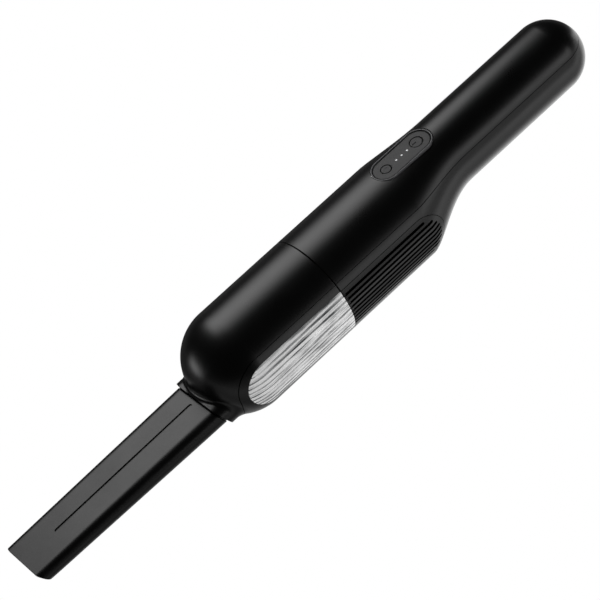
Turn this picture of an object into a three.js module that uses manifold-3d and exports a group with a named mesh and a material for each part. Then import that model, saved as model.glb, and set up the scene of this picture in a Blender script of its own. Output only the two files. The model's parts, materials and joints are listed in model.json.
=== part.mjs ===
// Cordless stick hand vacuum: a round grip that swells into a round body, a dust cup with ribbed
// side windows that pulls off the front, and a flat crevice nozzle that pulls out of the cup.
// Millimetres, X forward, Y left, Z up. The assembly is laid out from the joint of cup and body
// (x = 0) on the motor's axis (y = z = 0). The outer group then moves it, so that the origin is in
// the middle of the footprint on the plane that the belly rests on.
import * as THREE from "three";
import { mergeVertices } from "three/addons/utils/BufferGeometryUtils.js";
import Module from "manifold-3d";

const wasm = await Module();
wasm.setup();

// ---- driving dimensions ----
const GAP = 0.3; // left between touching pieces
const WALL = 2; // housing and cup walls
const BODY_R = 31.2; // body and cup
const GRIP_R = 21.5; // grip
const TAIL_X = -210.2; // rear end of the grip's dome
const FLARE_FRONT = -63.3; // where the body begins to narrow
const FLARE_REAR = -106.3; // where the grip is straight again
const FLARE_SKEW = 0.765; // below 1, the flare drops early and runs out late
const SEAM_Z = 17.5; // parting plane of upper and lower housing
const BELLY_Z = -30.4; // flat land that the belly rests on
const DOME_X = 58.4; // middle of the half sphere that the cup ends in
const WINDOW_Z = -1.2; // middle of the side windows
const WINDOW_HALF = 14.7;
const WINDOW_REACH = 73.2; // each way from the cup joint
const SLOTS = 9;
const SLOT_PITCH = 2.83;
const NOZZLE_Z = -9.1;
const NOZZLE_BACK = 72.4; // inner end of the nozzle, inside the socket
const SOCKET_X = 91.5; // upper edge of the socket's front face
const SOCKET_ANGLE = 22.8; // degrees that the socket's face leans back from upright
const TIP_X = 217.5; // upper lip of the nozzle's mouth
const MOUTH_ANGLE = 33; // degrees that the mouth leans back from upright
const PANEL_X = -79.9;
const PANEL_HALF = 20.95;
const PANEL_HALF_WIDTH = 9;
const PANEL_TOP = 30.9;
const POWER_KEY = { x: -11.3, r: 3.7 }; // x is counted from the panel's middle
const MODE_KEY = { x: 12.1, r: 3 };
const CELL_R = 9.1;
const CELL_LENGTH = 65;
const GRIP_Z = BODY_R - GRIP_R; // height of the grip's axis
const ROUND = 32; // sides of a full circle on the large shells

// ---- finishes ----
const finish = (color, roughness, metalness = 0, more = {}) =>
  new THREE.MeshStandardMaterial({ color, roughness, metalness, ...more });
const SATIN_BLACK = finish(0x151516, 0.42);
const NOZZLE_BLACK = finish(0x1b1b1c, 0.5);
const GRILLE_BLACK = finish(0x1a1a1b, 0.45);
const PAD_GREY = finish(0x3a3a3b, 0.6);
const RIM_GREY = finish(0x4a4a4b, 0.35);
const CLEAR = finish(0xdde0e2, 0.12, 0, { transparent: true, opacity: 0.35 });
const LIGHT_WHITE = finish(0xf4f6f8, 0.3);
const INNER_BLACK = finish(0x202122, 0.6);
const RUBBER = finish(0x1d1d1e, 0.85);
const SILICONE = finish(0x8c8f92, 0.7);
const STEEL = finish(0xb4b7ba, 0.3, 1);
const ZINC = finish(0x9a9da0, 0.4, 1);
const COPPER = finish(0xb06a3a, 0.4, 1);
const BOARD_GREEN = finish(0x1f5a3a, 0.5);
const CELL_BLUE = finish(0x2b5f9e, 0.4);
const FILTER_WHITE = finish(0xeef0ee, 0.9);
const FOAM_GREY = finish(0x4b4d50, 0.95);
const WIRE_RED = finish(0xb3261e, 0.5);

// ---- from geometry to closed solid and back ----
// A closed solid of the geometry, with its faces turned outwards.
function solid(geometry) {
  const loose = geometry.index ? geometry.toNonIndexed() : geometry;
  const bare = new THREE.BufferGeometry().setAttribute("position", loose.getAttribute("position"));
  const merged = mergeVertices(bare);
  const points = merged.getAttribute("position");
  const [a, b, c] = [new THREE.Vector3(), new THREE.Vector3(), new THREE.Vector3()];
  const triangles = [];
  let volume = 0;
  for (let i = 0; i < merged.index.count; i += 3) {
    const [p, q, r] = [0, 1, 2].map((k) => merged.index.getX(i + k));
    if (p === q || q === r || r === p) continue;
    a.fromBufferAttribute(points, p);
    b.fromBufferAttribute(points, q);
    c.fromBufferAttribute(points, r);
    volume += a.dot(b.cross(c));
    triangles.push([p, q, r]);
  }
  const turned = volume < 0 ? triangles.map(([p, q, r]) => [p, r, q]) : triangles;
  return new wasm.Manifold(
    new wasm.Mesh({ numProp: 3, vertProperties: points.array, triVerts: new Uint32Array(turned.flat()) }),
  );
}

function geometryOf(made) {
  const mesh = made.getMesh();
  const geometry = new THREE.BufferGeometry();
  geometry.setAttribute("position", new THREE.BufferAttribute(new Float32Array(mesh.vertProperties), 3));
  geometry.setIndex(new THREE.BufferAttribute(new Uint32Array(mesh.triVerts), 1));
  const flat = geometry.toNonIndexed();
  flat.computeVertexNormals();
  return flat;
}

function piece(name, made, material) {
  const mesh = new THREE.Mesh(geometryOf(made), material);
  mesh.name = name;
  return mesh;
}

function group(x, y, z, ...children) {
  const made = new THREE.Group();
  made.position.set(x, y, z);
  made.add(...children);
  return made;
}

// ---- shapes ----
const X = new THREE.Vector3(1, 0, 0);
const Y = new THREE.Vector3(0, 1, 0);
const Z = new THREE.Vector3(0, 0, 1);
// The directions that a shape's x, its y and its extrusion take.
const ALONG = { x: [Y, Z, X], y: [X, Z, Y], z: [X, Y, Z] };

function prism(shape, axis, from, to, curveSegments = 6) {
  const made = new THREE.ExtrudeGeometry(shape, { depth: to - from, bevelEnabled: false, curveSegments });
  made.translate(0, 0, from);
  return solid(made.applyMatrix4(new THREE.Matrix4().makeBasis(...ALONG[axis])));
}

function circle(a, b, radius) {
  return new THREE.Shape().absarc(a, b, radius, 0, 2 * Math.PI);
}

const rod = (axis, radius, from, to, a = 0, b = 0, sides = 16) =>
  prism(circle(a, b, radius), axis, from, to, sides / 2);

// A stadium outline, half a length and half a height from its middle.
function pill(a, b, half, halfHeight) {
  const flat = half - halfHeight;
  return new THREE.Shape()
    .moveTo(a - flat, b - halfHeight)
    .lineTo(a + flat, b - halfHeight)
    .absarc(a + flat, b, halfHeight, -Math.PI / 2, Math.PI / 2)
    .lineTo(a - flat, b + halfHeight)
    .absarc(a - flat, b, halfHeight, Math.PI / 2, 1.5 * Math.PI);
}

function box(x0, x1, y0, y1, z0, z1) {
  const made = new THREE.BoxGeometry(x1 - x0, y1 - y0, z1 - z0);
  return solid(made.translate((x0 + x1) / 2, (y0 + y1) / 2, (z0 + z1) / 2));
}

// A profile of [x, radius] points turned about the X axis.
function lathe(profile, segments = ROUND, lift = null) {
  const points = profile.map(([x, radius]) => new THREE.Vector2(radius, x));
  const made = new THREE.LatheGeometry(points, segments).rotateZ(-Math.PI / 2);
  if (lift) {
    const at = made.getAttribute("position");
    for (let i = 0; i < at.count; i++) at.setZ(i, at.getZ(i) + lift(at.getX(i)));
  }
  return solid(made);
}

const tube = (inner, outer, x0, x1, segments = ROUND) =>
  lathe([[x0, inner], [x0, outer], [x1, outer], [x1, inner], [x0, inner]], segments);

// A flat duct: stadium sections {x, flat, r, z} joined along X. flat is half the straight width and
// r the end radius.
function duct(stations, arcSegments = 5) {
  const steps = stations.length - 1;
  const made = new THREE.ExtrudeGeometry(pill(0, 0, 2, 1), {
    depth: steps,
    steps,
    bevelEnabled: false,
    curveSegments: arcSegments,
  });
  const at = made.getAttribute("position");
  for (let i = 0; i < at.count; i++) {
    const { x, flat, r, z } = stations[Math.round(at.getZ(i))];
    const middle = THREE.MathUtils.clamp(at.getX(i), -1, 1);
    const [across, up] = [at.getX(i) - middle, at.getY(i)];
    at.setXYZ(i, x, middle * flat + across * r, z + up * r);
  }
  return solid(made);
}

// Copies of a solid turned about the X axis.
function spun(made, count) {
  const turns = Array.from({ length: count }, (_, i) => made.rotate([(360 * i) / count, 0, 0]));
  return wasm.Manifold.union(turns);
}

// ---- the round outline of body and grip ----
// Outer radius of the section at x. Every section touches the same straight line along the top.
function swell(x) {
  const run = THREE.MathUtils.clamp((FLARE_FRONT - x) / (FLARE_FRONT - FLARE_REAR), 0, 1);
  return THREE.MathUtils.lerp(BODY_R, GRIP_R, THREE.MathUtils.smoothstep(run ** FLARE_SKEW, 0, 1));
}
const axisHeight = (x) => BODY_R - swell(x);

// Profile of the housing from the tail to the cup joint, drawn in by inset.
function housingProfile(inset, domeSteps, flareSteps) {
  const profile = [];
  const domeR = GRIP_R - inset;
  for (let i = 0; i <= domeSteps; i++) {
    const turn = (Math.PI / 2) * (i / domeSteps);
    profile.push([TAIL_X + GRIP_R - domeR * Math.cos(turn), domeR * Math.sin(turn)]);
  }
  for (let i = 0; i <= flareSteps; i++) {
    const x = THREE.MathUtils.lerp(FLARE_REAR, FLARE_FRONT, i / flareSteps);
    profile.push([x, swell(x) - inset]);
  }
  profile.push([-GAP / 2, BODY_R - inset]);
  return profile;
}

function housingShell() {
  const outer = housingProfile(0, 7, 9);
  const inner = housingProfile(WALL, 5, 6).reverse();
  return lathe([...outer, ...inner], ROUND, axisHeight);
}

// ---- cut-outs that several pieces share ----
const FAR = 300;
const above = (z) => box(-FAR, FAR, -60, 60, z, 60);
const below = (z) => box(-FAR, FAR, -60, 60, -60, z);
const leftHalf = box(-FAR, FAR, GAP, 60, -60, 60);
const rightHalf = box(-FAR, FAR, -60, -GAP, -60, 60);
const behindJoint = box(-FAR, -GAP / 2, -60, 60, -60, 60);
const aheadOfJoint = box(GAP / 2, FAR, -60, 60, -60, 60);
// The side window, through the whole width, drawn in by inset.
const windowCut = (inset) =>
  prism(pill(0, WINDOW_Z, WINDOW_REACH - inset, WINDOW_HALF - inset), "y", -60, 60, 6);
const panelCut = (inset, from, to) =>
  prism(pill(PANEL_X, 0, PANEL_HALF - inset, PANEL_HALF_WIDTH - inset), "z", from, to, 6);

// ---- housing ----
const SCREWS = [
  { x: -112, y: 0, head: 1 },
  { x: -67, y: 15, head: -1 },
  { x: -67, y: -15, head: -1 },
]; // head is the height of the underside of the screw's head
const BOSS_R = 3.3;
const SHANK_R = 1.15;
const HEAD_R = 2.4;
const SCREW_LENGTH = 24;

// Everything out to the middle of the housing's wall: ribs and bosses cut to it end inside the wall.
const housingCore = () => lathe([...housingProfile(WALL / 2, 5, 6), [-GAP / 2, 0]], ROUND, axisHeight);

function upperHousing(shell) {
  const posts = [];
  for (const x of [-103, -58]) for (const y of [-7, 7]) posts.push(rod("z", 1.6, 22.3, 40, x, y, 8));
  for (const { x, y } of SCREWS) {
    const pillar = rod("z", BOSS_R, SEAM_Z + GAP / 2, 40, x, y, 10);
    posts.push(pillar.subtract(rod("z", SHANK_R + GAP, 0, SEAM_Z + 10, x, y, 8)));
  }
  return shell
    .intersect(above(SEAM_Z + GAP / 2))
    .add(wasm.Manifold.union(posts).intersect(housingCore()))
    .subtract(panelCut(-GAP, 25, 40));
}

function lowerHousing(shell) {
  const core = housingCore();
  const bosses = SCREWS.map(({ x, y }) => rod("z", BOSS_R, -40, SEAM_Z - GAP / 2, x, y, 10).intersect(core));
  const saddle = rod("x", 29.6, -57, -55, 0, 0, 32)
    .subtract(rod("x", 20.4, -60, -50, 0, 0, 32))
    .intersect(below(-16.5));
  const bores = SCREWS.map(({ x, y, head }) =>
    rod("z", HEAD_R + GAP, -60, head + GAP, x, y, 10).add(rod("z", SHANK_R + GAP, -60, 30, x, y, 8)),
  );
  const port = prism(pill(0, GRIP_Z, 4.9, 2), "x", TAIL_X - 5, TAIL_X + 12, 6);
  const skin = shell.intersect(below(SEAM_Z - GAP / 2)).subtract(windowCut(0));
  return wasm.Manifold.union([skin, ...bosses, saddle])
    .subtract(wasm.Manifold.union(bores))
    .subtract(port)
    .subtract(below(BELLY_Z));
}

// The exhaust grille beside the motor: grooves along its length that open right through near the rear.
function ventGrille(shell, half) {
  const plate = shell.intersect(windowCut(GAP)).intersect(half);
  const skinR = BODY_R - 0.9; // the floor of the shallow grooves
  const floor = lathe([[-70, 0], [-70, skinR], [10, skinR], [10, 0]], 24);
  const cuts = [];
  for (let i = 0; i < SLOTS; i++) {
    const up = (i - (SLOTS - 1) / 2) * SLOT_PITCH;
    const reach = WINDOW_REACH - WINDOW_HALF + Math.sqrt((WINDOW_HALF - 3) ** 2 - up ** 2);
    const z = WINDOW_Z + up;
    cuts.push(box(-reach, 5, -40, 40, z - 0.55, z + 0.55).subtract(floor));
    cuts.push(box(-reach, -47, -40, 40, z - 0.55, z + 0.55));
  }
  return plate.subtract(wasm.Manifold.union(cuts));
}

function screw({ x, y, head }, number) {
  const shank = rod("z", SHANK_R, -0.5, SCREW_LENGTH, 0, 0, 8);
  const cross = box(-1.4, 1.4, -0.3, 0.3, -3, -1).add(box(-0.3, 0.3, -1.4, 1.4, -3, -1));
  const made = rod("z", HEAD_R, -1.8, 0, 0, 0, 12).add(shank).subtract(cross);
  return group(x, y, head, piece(`housing_screw_${number}`, made, ZINC));
}

function housing() {
  const shell = housingShell();
  return group(
    0, 0, 0,
    piece("upper_housing", upperHousing(shell), SATIN_BLACK),
    piece("lower_housing", lowerHousing(shell), SATIN_BLACK),
    piece("vent_grille_left", ventGrille(shell, leftHalf), GRILLE_BLACK),
    piece("vent_grille_right", ventGrille(shell, rightHalf), GRILLE_BLACK),
    ...SCREWS.map((place, i) => screw(place, i + 1)),
  );
}

// ---- control panel, laid out from the panel's middle at the height of its rim ----
const KEY_TRAVEL_ROOM = 1;
const PAD_DROP = 0.45; // pad below rim
const PAD_THICK = 1.6;
const LIGHTS = [-4.15, 0, 4.15];
const RIM_WIDTH = 0.9;
const BOARD_TOP = -8.9;

const localPill = (inset, from, to) =>
  prism(pill(0, 0, PANEL_HALF - inset, PANEL_HALF_WIDTH - inset), "z", from, to, 6);

function key(name, { x, r }, ...icon) {
  const cap = rod("z", r, -3.1, -PAD_DROP, 0, 0, 24);
  const flange = rod("z", r + 1, -3.4, -2.4, 0, 0, 24);
  const plunger = rod("z", 1.5, BOARD_TOP + 3.3 + KEY_TRAVEL_ROOM, -3.2, 0, 0, 10);
  const made = wasm.Manifold.union([cap, flange, plunger]).subtract(wasm.Manifold.union(icon));
  return group(x, 0, 0, piece(name, made, PAD_GREY));
}

function tactSwitch(name, { x }) {
  const made = box(-3, 3, -3, 3, BOARD_TOP + GAP, BOARD_TOP + 2.4).add(
    rod("z", 1.6, BOARD_TOP + 2, BOARD_TOP + 3.3, 0, 0, 10),
  );
  return group(x, 0, 0, piece(name, made, INNER_BLACK));
}

function controls() {
  const bezel = localPill(0, -5, 0).subtract(localPill(RIM_WIDTH, -6, 1));
  const holes = [POWER_KEY, MODE_KEY]
    .map(({ x, r }) => rod("z", r + GAP, -4, 1, x, 0, 24))
    .concat(LIGHTS.map((x) => rod("z", 0.65 + GAP, -4, 1, x, 0, 8)));
  const sheet = localPill(RIM_WIDTH + GAP, -PAD_DROP - PAD_THICK, -PAD_DROP);
  const pad = sheet.subtract(wasm.Manifold.union(holes));
  const guide = wasm.Manifold.union([
    box(-5, 5, -1.2, 1.2, -3.4, -2.4),
    ...LIGHTS.map((x) => rod("z", 0.65, -2.5, -PAD_DROP, x, 0, 8)),
  ]);
  const board = box(-25.5, 24, -9.5, 9.5, BOARD_TOP - 1.6, BOARD_TOP);
  return group(
    PANEL_X, 0, PANEL_TOP,
    piece("panel_bezel", bezel, RIM_GREY),
    piece("control_pad", pad, PAD_GREY),
    piece("battery_light_guide", guide, LIGHT_WHITE),
    key("power_button", POWER_KEY, box(0, 3, -0.35, 0.35, -PAD_DROP - 0.3, 1)),
    key("mode_button", MODE_KEY, rod("z", 1.2, -PAD_DROP - 0.15, 1)),
    tactSwitch("power_switch", POWER_KEY),
    tactSwitch("mode_switch", MODE_KEY),
    piece("control_board", board, BOARD_GREEN),
  );
}

// ---- battery pack and charging port, laid out on the grip's axis ----
function battery() {
  const front = -121;
  const rear = front - CELL_LENGTH;
  const side = CELL_R + GAP / 2;
  const cell = () =>
    rod("x", CELL_R, rear, front - 1, 0, 0, 24).add(rod("x", 3, front - 1.5, front, 0, 0, 12));
  const bracket = (x0, x1) => duct([x0, x1].map((x) => ({ x, flat: side, r: 9.6, z: 0 })));
  const link = (x0, x1) => box(x0, x1, -12, 12, -3.5, 3.5);
  return group(
    0, 0, GRIP_Z,
    group(0, side, 0, piece("battery_cell_left", cell(), CELL_BLUE)),
    group(0, -side, 0, piece("battery_cell_right", cell(), CELL_BLUE)),
    piece("cell_link_front", link(front + GAP, front + 0.6), ZINC),
    piece("cell_link_rear", link(rear - 0.6, rear - GAP), ZINC),
    piece("battery_bracket_front", bracket(front + 0.9, front + 4), INNER_BLACK),
    piece("battery_bracket_rear", bracket(rear - 3.4, rear - 0.9), INNER_BLACK),
  );
}

function chargePort() {
  const mouth = TAIL_X + 0.6;
  const shellCut = prism(pill(0, 0, 4.2, 1.3), "x", mouth - 1, mouth + 6.5, 6);
  const tongue = box(mouth + 1.2, mouth + 6.8, -3.3, 3.3, -0.4, 0.4);
  const socket = prism(pill(0, 0, 4.5, 1.6), "x", mouth, mouth + 7.3, 6).subtract(shellCut).add(tongue);
  return group(
    0, 0, GRIP_Z,
    piece("charge_socket", socket, STEEL),
    piece("charge_board", box(mouth + 3.5, -191, -7, 7, -2.9, -1.9), BOARD_GREEN),
  );
}

// ---- motor and fan, on the assembly's own axis ----
const SHAFT_R = 1.6;
const CAN_R = 17.5;
const CAN_FRONT = -27;
const CAN_REAR = -58;
const FAN_FRONT = -11.5;
const FAN_REAR = -18.5;
const SHROUD_R = 26.3; // fan shroud and diffuser

function impeller() {
  const hub = SHAFT_R + GAP;
  const plate = lathe(
    [[FAN_REAR, hub], [FAN_REAR, 22], [-17.3, 22], [-16.8, 10], [FAN_FRONT, 5], [FAN_FRONT, hub],
      [FAN_REAR, hub]],
    32,
  );
  // Backward-curved blade between two arcs, drawn in the plane across the axis.
  const blade = new THREE.Shape()
    .moveTo(7.5, 0)
    .quadraticCurveTo(14, 0.5, 20.5, 6.5)
    .lineTo(20, 7.2)
    .quadraticCurveTo(13.5, 1.7, 7.3, 1);
  return plate.add(spun(prism(blade, "x", FAN_REAR + 0.7, FAN_FRONT - 0.1, 4), 9));
}

function motor() {
  const sheet = 1.2;
  const can = lathe(
    [[CAN_REAR, 6.3], [CAN_REAR, CAN_R], [CAN_FRONT - 2, CAN_R], [CAN_FRONT - 2, CAN_R - sheet],
      [CAN_REAR + sheet, CAN_R - sheet], [CAN_REAR + sheet, 6.3], [CAN_REAR, 6.3]],
    32,
  );
  const cap = lathe(
    [[CAN_FRONT, 4.8], [CAN_FRONT, CAN_R], [CAN_FRONT - 1.7, CAN_R], [CAN_FRONT - 1.7, 15.8],
      [CAN_FRONT - 3.5, 15.8], [CAN_FRONT - 3.5, 4.8], [CAN_FRONT, 4.8]],
    32,
  );
  const shroud = lathe(
    [[-8.6, 12], [-8.6, 25], [-9.6, SHROUD_R], [-22, SHROUD_R], [-22, 24.8], [-10.4, 24.8],
      [-10.4, 12], [-8.6, 12]],
    28,
  );
  const bracketHoles = spun(rod("x", 2.4, -40, -20, 0, 25.2, 8), 8);
  const vents = spun(box(-40, -20, -1.2, 1.2, 18.5, 24.4).rotate([18, 0, 0]), 10);
  return group(
    0, 0, 0,
    piece("fan_shroud", shroud, INNER_BLACK),
    piece("diffuser", tube(5, SHROUD_R, -25.5, -22.3, 28).subtract(vents), INNER_BLACK),
    piece("motor_can", can, STEEL),
    piece("motor_front_cap", cap, INNER_BLACK),
    piece("stator_magnets", tube(13.9, 16, -52, -33, 32), FOAM_GREY),
    piece("front_bearing", tube(SHAFT_R + GAP, 4.5, CAN_FRONT - 3.4, CAN_FRONT - 0.2, 16), STEEL),
    piece("rear_bearing", tube(SHAFT_R + GAP, 6, CAN_REAR, CAN_REAR + 3, 16), STEEL),
    piece("motor_bracket", tube(21.3, 28.8, -34, -31.5, 28).subtract(bracketHoles), INNER_BLACK),
    piece("motor_front_mount", tube(CAN_R + GAP, 21, -35, -30.5, 32), RUBBER),
    piece("motor_rear_mount", tube(CAN_R + GAP, 20, -57.5, -53, 32), RUBBER),
    piece("motor_shaft", rod("x", SHAFT_R, -61, -11, 0, 0, 12), STEEL),
    piece("rotor_core", tube(SHAFT_R + GAP, 13, -51, -34, 28), COPPER),
    piece("impeller", impeller(), NOZZLE_BLACK),
  );
}

// A lead along a smooth route.
function lead(name, points, material) {
  const route = new THREE.CatmullRomCurve3(points.map((p) => new THREE.Vector3(...p)));
  const made = new THREE.ExtrudeGeometry(circle(0, 0, 0.9), { steps: 10, extrudePath: route, curveSegments: 8 });
  return piece(name, solid(made), material);
}

function leads() {
  const fromMotor = [[-58.6, 11, 2], [-62, 11, 3], [-64, 9, 8], [-63, 6, 15], [-61, 5, 18.5]];
  const fromCells = [
    [-115.8, 6, 13.5], [-111, 7.5, 15.5], [-106, 7.5, 17.5], [-100, 5.5, 18.4], [-95, 5, 18.9],
  ];
  const onSide = (points, side) => points.map(([x, y, z]) => [x, y * side, z]);
  return group(
    0, 0, 0,
    lead("motor_lead_red", onSide(fromMotor, 1), WIRE_RED),
    lead("motor_lead_black", onSide(fromMotor, -1), RUBBER),
    lead("battery_lead_red", onSide(fromCells, 1), WIRE_RED),
    lead("battery_lead_black", onSide(fromCells, -1), RUBBER),
  );
}

// Foam behind each grille, inside the lower housing.
function exhaustFoam() {
  const layer = tube(26.4, 28.8, -54, -35, ROUND).intersect(box(-60, 0, -40, 40, -14, 10));
  return group(
    0, 0, 0,
    piece("exhaust_foam_left", layer.intersect(leftHalf), FOAM_GREY),
    piece("exhaust_foam_right", layer.intersect(rightHalf), FOAM_GREY),
  );
}

// Intake plate at the front of the housing, with the collar that the cup slides over.
function bulkhead() {
  const collarR = BODY_R - WALL - GAP;
  const plate = lathe([
    [-4, 0], [-4, collarR - 3], [-8, collarR - 3], [-8, collarR - 0.1], [9, collarR - 0.1],
    [9, collarR - 2.2], [-1.5, collarR - 2.2], [-1.5, 22.4], [3.5, 22.4], [3.5, 20.6], [-1.5, 20.6],
    [-1.5, 0],
  ]);
  const intake = spun(rod("x", 3.4, -10, 5, 0, 8.2, 10), 6).add(rod("x", 3.4, -10, 5, 0, 0, 10));
  const sealGroove = tube(collarR - 1.3, 40, 4, 6.6);
  return group(
    0, 0, 0,
    piece("bulkhead", plate.subtract(intake).subtract(sealGroove), INNER_BLACK),
    piece("cup_seal", tube(collarR - 1, collarR, 4.3, 6.3), SILICONE),
  );
}

// ---- filter, seated on the bulkhead ----
function filter() {
  const pleats = new THREE.Shape();
  const count = 24;
  for (let i = 0; i < 2 * count; i++) {
    const turn = (Math.PI * i) / count;
    const r = i % 2 ? 14 : 19.5;
    if (i) pleats.lineTo(r * Math.cos(turn), r * Math.sin(turn));
    else pleats.moveTo(r, 0);
  }
  const media = prism(pleats, "x", 6.8, 26).subtract(rod("x", 12, 5, 40, 0, 0, 24));
  const frame = lathe(
    [[-1.2, 22.7], [-1.2, 24.6], [6.5, 24.6], [6.5, 12], [5, 12], [5, 22.7], [-1.2, 22.7]],
    28,
  );
  const cage = lathe(
    [[6.8, 20.7], [6.8, 21.5], [30, 21.5], [31.2, 20], [31.2, 0], [30.4, 0], [30.4, 19.6],
      [29.4, 20.7], [6.8, 20.7]],
    28,
  );
  const cap = rod("x", 19.5, 26.3, 28, 0, 0, 24).add(box(27.5, 29.8, -7, 7, -1, 1));
  return group(
    0, 0, 0,
    piece("filter_frame", frame, RUBBER),
    piece("filter_media", media, FILTER_WHITE),
    piece("filter_end_cap", cap, RUBBER),
    piece("prefilter_cage", cage, STEEL),
  );
}

// ---- dust cup ----
const SOCKET_WALL = 1.6;
const SOCKET_FLAT = 12.56;
const SOCKET_R = 6.7; // end radius of the flat passage through the socket
const COLLAR_BACK = 72; // inner end of the socket's collar
const LOWER_SHELL_REACH = 78; // front edge of the cup's lower shell
const LOWER_SHELL_CORNER = 19;

const socketDuct = (grow, x0, x1) =>
  duct([x0, x1].map((x) => ({ x, flat: SOCKET_FLAT, r: SOCKET_R + grow, z: NOZZLE_Z })));

function cupProfile(inset, steps) {
  const profile = [[GAP / 2, BODY_R - inset]];
  for (let i = 0; i <= steps; i++) {
    const turn = (Math.PI / 2) * (i / steps);
    profile.push([DOME_X + Math.sin(turn) * (BODY_R - inset), Math.cos(turn) * (BODY_R - inset)]);
  }
  return profile;
}

const cupWall = () => lathe([...cupProfile(0, 9), ...cupProfile(WALL, 7).reverse(), [GAP / 2, BODY_R]]);
const collar = (grow) => socketDuct(GAP + SOCKET_WALL + grow, COLLAR_BACK - grow, SOCKET_X + 1);

// Everything ahead of a plane that leans back by an angle from an edge at x and z.
function aheadOfLeaning(x, z, angle) {
  const block = new THREE.BoxGeometry(60, 80, 80).translate(30, 0, 0);
  return solid(block.rotateY(THREE.MathUtils.degToRad(angle)).translate(x, 0, z));
}

// Side view of the cup's lower shell: it ends in a rounded corner ahead of the window.
function lowerShellCut(inset) {
  const corner = LOWER_SHELL_CORNER;
  const shape = new THREE.Shape()
    .moveTo(-10, -60)
    .lineTo(LOWER_SHELL_REACH - inset, -60)
    .lineTo(LOWER_SHELL_REACH - inset, SEAM_Z - inset - corner)
    .absarc(LOWER_SHELL_REACH - inset - corner, SEAM_Z - inset - corner, corner, 0, Math.PI / 2)
    .lineTo(-10, SEAM_Z - inset);
  return prism(shape, "y", -60, 60, 6);
}

const DUCT_BACK = 62.4; // end of the inlet duct, which the flap closes
const FLAP_X = DUCT_BACK - 1.8; // the flap's hinge, above the end of the duct
const FLAP_Z = NOZZLE_Z + 10.4;
const PIN_R = 0.8;

function inletDuct() {
  const outer = socketDuct(1.6, DUCT_BACK, COLLAR_BACK - GAP);
  const ears = [-15, 15].flatMap((y) => [
    box(DUCT_BACK, DUCT_BACK + 4, y - 1, y + 1, NOZZLE_Z + 6, FLAP_Z + 2),
    box(FLAP_X - 1.8, DUCT_BACK + 1, y - 1, y + 1, FLAP_Z - 1.7, FLAP_Z + 2),
  ]);
  const room = lathe([[GAP / 2, 0], ...cupProfile(WALL + GAP, 7)]);
  return wasm.Manifold.union([outer, ...ears])
    .intersect(room)
    .subtract(socketDuct(0, DUCT_BACK - 5, COLLAR_BACK + 5))
    .subtract(rod("y", PIN_R + GAP, -20, 20, FLAP_X, FLAP_Z, 10));
}

function inletFlap() {
  const leaf = socketDuct(0.9, DUCT_BACK - GAP - 1, DUCT_BACK - GAP);
  const barrel = rod("y", 1.7, -13.6, 13.6, FLAP_X, FLAP_Z, 12);
  const web = box(DUCT_BACK - GAP - 1, DUCT_BACK - GAP, -12, 12, NOZZLE_Z + 6, FLAP_Z);
  return leaf.add(barrel).add(web).subtract(rod("y", PIN_R + GAP, -20, 20, FLAP_X, FLAP_Z, 10));
}

function cup() {
  const bore = socketDuct(GAP, COLLAR_BACK - 1, SOCKET_X + 1);
  const rim = aheadOfLeaning(SOCKET_X, NOZZLE_Z + SOCKET_R + GAP + SOCKET_WALL, SOCKET_ANGLE);
  const upper = cupWall().subtract(lowerShellCut(0)).add(collar(0)).subtract(bore).subtract(rim);
  const lower = cupWall().intersect(lowerShellCut(GAP)).subtract(collar(GAP));
  const window = lower.intersect(windowCut(GAP)).intersect(aheadOfJoint);
  return group(
    0, 0, 0,
    piece("cup_shell", upper, SATIN_BLACK),
    piece("cup_lower_shell", lower.subtract(windowCut(0)).subtract(below(BELLY_Z)), SATIN_BLACK),
    piece("cup_window_left", window.intersect(leftHalf), CLEAR),
    piece("cup_window_right", window.intersect(rightHalf), CLEAR),
    piece("inlet_duct", inletDuct(), INNER_BLACK),
    piece("inlet_flap", inletFlap(), SILICONE),
    piece("flap_pin", rod("y", PIN_R, -15.9, 15.9, FLAP_X, FLAP_Z, 10), STEEL),
  );
}

// ---- crevice nozzle ----
const NOZZLE_WALL = 1.6;
const NOZZLE_BACK_R = SOCKET_R - 0.3; // end radius at its inner end
const NOZZLE_TIP_R = 4.65;
const GROOVE_X = [94.6, 193.9];
const GROOVE_HALF_WIDTH = 1.1;
const GROOVE_DEPTH = 0.6;

function nozzle() {
  const section = (x, inset) => {
    const run = (x - NOZZLE_BACK) / (TIP_X - NOZZLE_BACK);
    return {
      x,
      flat: THREE.MathUtils.lerp(12.56, 12.2, run),
      r: THREE.MathUtils.lerp(NOZZLE_BACK_R, NOZZLE_TIP_R, run) - inset,
      z: NOZZLE_Z,
    };
  };
  const outside = duct([section(NOZZLE_BACK, 0), section(TIP_X, 0)], 6);
  const inside = duct([section(NOZZLE_BACK - 1, NOZZLE_WALL), section(TIP_X + 1, NOZZLE_WALL)], 6);
  const mouth = aheadOfLeaning(TIP_X, NOZZLE_Z + NOZZLE_TIP_R, MOUTH_ANGLE);
  const [back, front] = GROOVE_X;
  const groove = prism(pill((back + front) / 2, 0, (front - back) / 2, GROOVE_HALF_WIDTH), "z", 0, 1, 6);
  // The floor of the groove follows the slope of the nozzle's top face.
  const slope = Math.atan((NOZZLE_BACK_R - NOZZLE_TIP_R) / (TIP_X - NOZZLE_BACK));
  const placed = groove
    .translate([-NOZZLE_BACK, 0, -GROOVE_DEPTH])
    .rotate([0, THREE.MathUtils.radToDeg(slope), 0])
    .translate([NOZZLE_BACK, 0, NOZZLE_Z + NOZZLE_BACK_R]);
  const made = outside.subtract(inside).subtract(mouth).subtract(placed);
  return group(0, 0, 0, piece("crevice_nozzle", made, NOZZLE_BLACK));
}

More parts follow.
